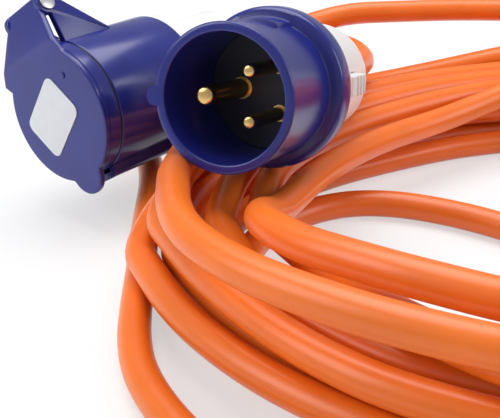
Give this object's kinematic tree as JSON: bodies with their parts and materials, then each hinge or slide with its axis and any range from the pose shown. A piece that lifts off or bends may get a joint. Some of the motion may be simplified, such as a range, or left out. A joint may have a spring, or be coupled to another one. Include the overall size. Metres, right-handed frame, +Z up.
{
  "type": "shore power cord",
  "caption": "Loosely coiled orange mains cable with a blue three-pin pin-and-sleeve plug and a blue connector with a sprung lid, white rear housings",
  "frame": {"origin": "middle of the bounding box on the floor that the coil lies on", "axes": "+Z up from the floor; the camera side is -Y, and the connector and plug lie at -X"},
  "size_m": [0.3947, 0.383, 0.0987],
  "materials": {
    "orange_cable": "satin",
    "steel_screw": "satin",
    "brass_contact": "polished",
    "blue_insert": "gloss",
    "grey_clamp": "matte",
    "white_nut": "satin",
    "black_rubber": "matte",
    "white_shell": "satin",
    "blue_shell": "gloss",
    "green_yellow_core": "satin",
    "brown_core": "satin",
    "blue_core": "satin",
    "hinge_steel": "satin",
    "label_stock": "satin",
    "spring_steel": "satin",
    "black_insert": "matte"
  },
  "bodies": {
    "cord": {"cable_coil": "orange_cable", "cable_connector_tail": "orange_cable", "cable_plug_tail": "orange_cable", "connector_clamp_screw_1": "steel_screw", "connector_clamp_screw_2": "steel_screw", "connector_contact_earth": "brass_contact", "connector_contact_insert": "blue_insert", "connector_contact_line": "brass_contact", "connector_contact_neutral": "brass_contact", "connector_cord_clamp": "grey_clamp", "connector_cord_sheath": "orange_cable", "connector_gland_seal": "black_rubber", "connector_rear_housing": "white_shell", "connector_sleeve": "blue_shell", "connector_terminal_screw_earth": "steel_screw", "connector_terminal_screw_line": "steel_screw", "connector_terminal_screw_neutral": "steel_screw", "connector_wire_earth": "green_yellow_core", "connector_wire_line": "brown_core", "connector_wire_neutral": "blue_core", "lid_hinge_pin": "hinge_steel", "lid_spring": "spring_steel", "plug_clamp_screw_1": "steel_screw", "plug_clamp_screw_2": "steel_screw", "plug_contact_carrier": "black_insert", "plug_cord_clamp": "grey_clamp", "plug_cord_sheath": "orange_cable", "plug_gland_seal": "black_rubber", "plug_pin_earth": "brass_contact", "plug_pin_line": "brass_contact", "plug_pin_neutral": "brass_contact", "plug_rear_housing": "white_shell", "plug_shroud": "blue_shell", "plug_terminal_screw_earth": "steel_screw", "plug_terminal_screw_line": "steel_screw", "plug_terminal_screw_neutral": "steel_screw", "plug_wire_earth": "green_yellow_core", "plug_wire_line": "brown_core", "plug_wire_neutral": "blue_core"},
    "lid": {"lid": "blue_shell", "lid_gasket": "black_rubber", "lid_label": "label_stock"},
    "plug_nut": {"plug_gland_nut": "white_nut"},
    "connector_nut": {"connector_gland_nut": "white_nut"},
    "plug_tab": {"plug_lock_tab": "white_shell"},
    "connector_tab": {"connector_lock_tab": "white_shell"}
  },
  "joints": [
    {"name": "lid_hinge", "type": "hinge", "parent": "cord", "child": "lid", "pos_m": [-0.18353, 0.04833, 0.08224], "axis": [-0.6595, 0.5322, -0.5308], "range_deg": [0, 110], "stiffness_Nm_per_rad": 0.03, "springref_deg": -34.38},
    {"name": "plug_nut_turn", "type": "hinge", "parent": "cord", "child": "plug_nut", "pos_m": [-0.06335, 0.05951, 0.05387], "axis": [0.4115, 0.8891, -0.2003], "continuous": true},
    {"name": "connector_nut_turn", "type": "hinge", "parent": "cord", "child": "connector_nut", "pos_m": [-0.10336, 0.11403, 0.0485], "axis": [0.6231, 0.7821, 0.01], "continuous": true},
    {"name": "plug_tab_press", "type": "slide", "parent": "cord", "child": "plug_tab", "axis": [-0.9114, 0.4015, -0.0904], "range_m": [0, 0.0015], "stiffness_N_per_m": 800, "springref_m": -0.003},
    {"name": "connector_tab_press", "type": "slide", "parent": "cord", "child": "connector_tab", "axis": [-0.6595, 0.5322, -0.5308], "range_m": [0, 0.0015], "stiffness_N_per_m": 800, "springref_m": -0.003}
  ]
}
